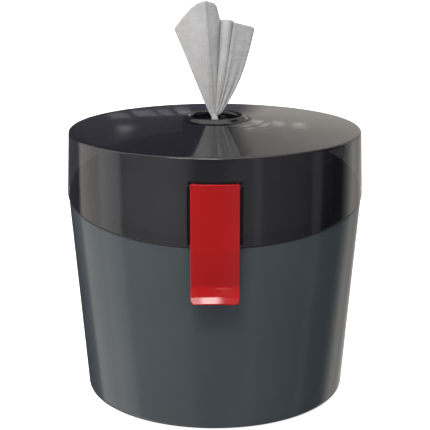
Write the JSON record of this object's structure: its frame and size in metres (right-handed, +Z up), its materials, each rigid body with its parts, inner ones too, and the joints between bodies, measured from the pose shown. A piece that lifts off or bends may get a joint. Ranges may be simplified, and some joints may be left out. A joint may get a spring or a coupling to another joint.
{
  "type": "centre-pull paper towel dispenser",
  "caption": "Round tapered tub holding a roll of paper towel on end, with a tinted hinged lid, a front latch and a petalled outlet for pulling the towel up through the middle.",
  "frame": {"origin": "middle of the base on the plane that the rubber feet stand on", "axes": "+Z up along the tub's axis, -Y towards the front where the latch is, +Y towards the hinge, +X to the right seen from the front"},
  "size_m": [0.25, 0.2718, 0.334],
  "materials": {
    "slate_plastic": "semi-gloss moulded plastic, slate grey",
    "smoked_plastic": "polished tinted plastic that lets the roll show",
    "smoked_nozzle": "polished tinted plastic",
    "dark_plastic": "fine moulded plastic",
    "black_rubber": "soft matt rubber",
    "petal_rubber": "smooth flexible rubber",
    "steel": "drawn wire, bright",
    "red_plastic": "glossy moulded plastic, signal red",
    "roll_paper": "soft crepe paper, wound",
    "towel_paper": "soft crepe paper, gathered"
  },
  "bodies": {
    "root": {"tub": "slate_plastic", "rubber_feet": "black_rubber", "lid_seal": "black_rubber", "hinge_pin": "steel", "hinge_pin_caps": "dark_plastic", "paper_roll": "roll_paper"},
    "lid": {"lid": "smoked_plastic", "outlet_nozzle": "smoked_nozzle", "petal_diaphragm": "petal_rubber", "clamp_ring": "dark_plastic", "lock_ring": "dark_plastic", "latch_pin": "steel"},
    "latch": {"latch": "red_plastic"},
    "towel": {"towel_sheet": "towel_paper"}
  },
  "joints": [
    {"name": "lid_hinge", "type": "hinge", "parent": "root", "child": "lid", "pos_m": [0, 0.1315, 0.19007], "axis": [-1, 0, 0], "range_deg": [0, 100]},
    {"name": "latch_pivot", "type": "hinge", "parent": "lid", "child": "latch", "pos_m": [0, -0.1278, 0.2063], "axis": [-1, 0, 0], "range_deg": [0, 95]},
    {"name": "towel_pull", "type": "slide", "parent": "lid", "child": "towel", "axis": [0, 0, 1], "range_m": [0, 0.05]}
  ]
}
